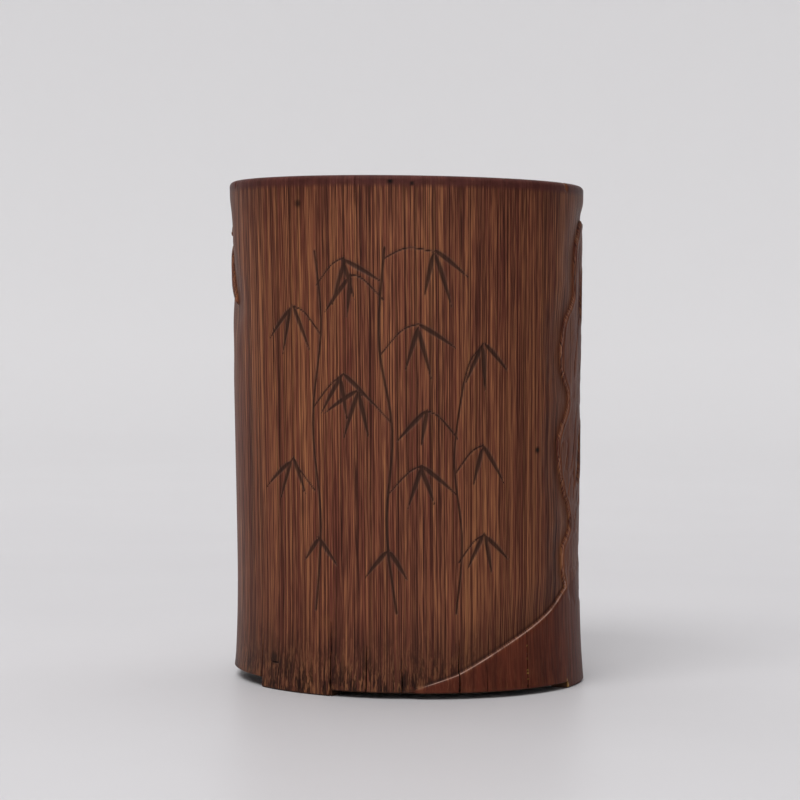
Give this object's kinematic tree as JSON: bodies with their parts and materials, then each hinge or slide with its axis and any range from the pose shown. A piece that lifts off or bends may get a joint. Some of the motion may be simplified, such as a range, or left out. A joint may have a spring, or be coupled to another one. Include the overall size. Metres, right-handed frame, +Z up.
{
  "type": "bamboo brush pot",
  "caption": "Round upright bamboo pot on three low feet cut from its wall, with a bank, a pierced rock and bamboo sprays in low relief round its side and back.",
  "frame": {"origin": "under the middle of the pot, on the surface that its feet stand on", "axes": "+Z up along the pot, -Y towards the plain front, +X to the right as seen from the front"},
  "size_m": [0.112, 0.1098, 0.152],
  "materials": {
    "bamboo": "red-brown handled patina, semi-gloss",
    "hardwood": "dark hardwood, satin",
    "lacquer": "dark lacquer, glossy"
  },
  "bodies": {
    "root": {"culm_wall": "bamboo", "floor_disc": "hardwood", "upper_lacquer_fillet": "lacquer", "lower_lacquer_fillet": "lacquer"}
  },
  "joints": []
}
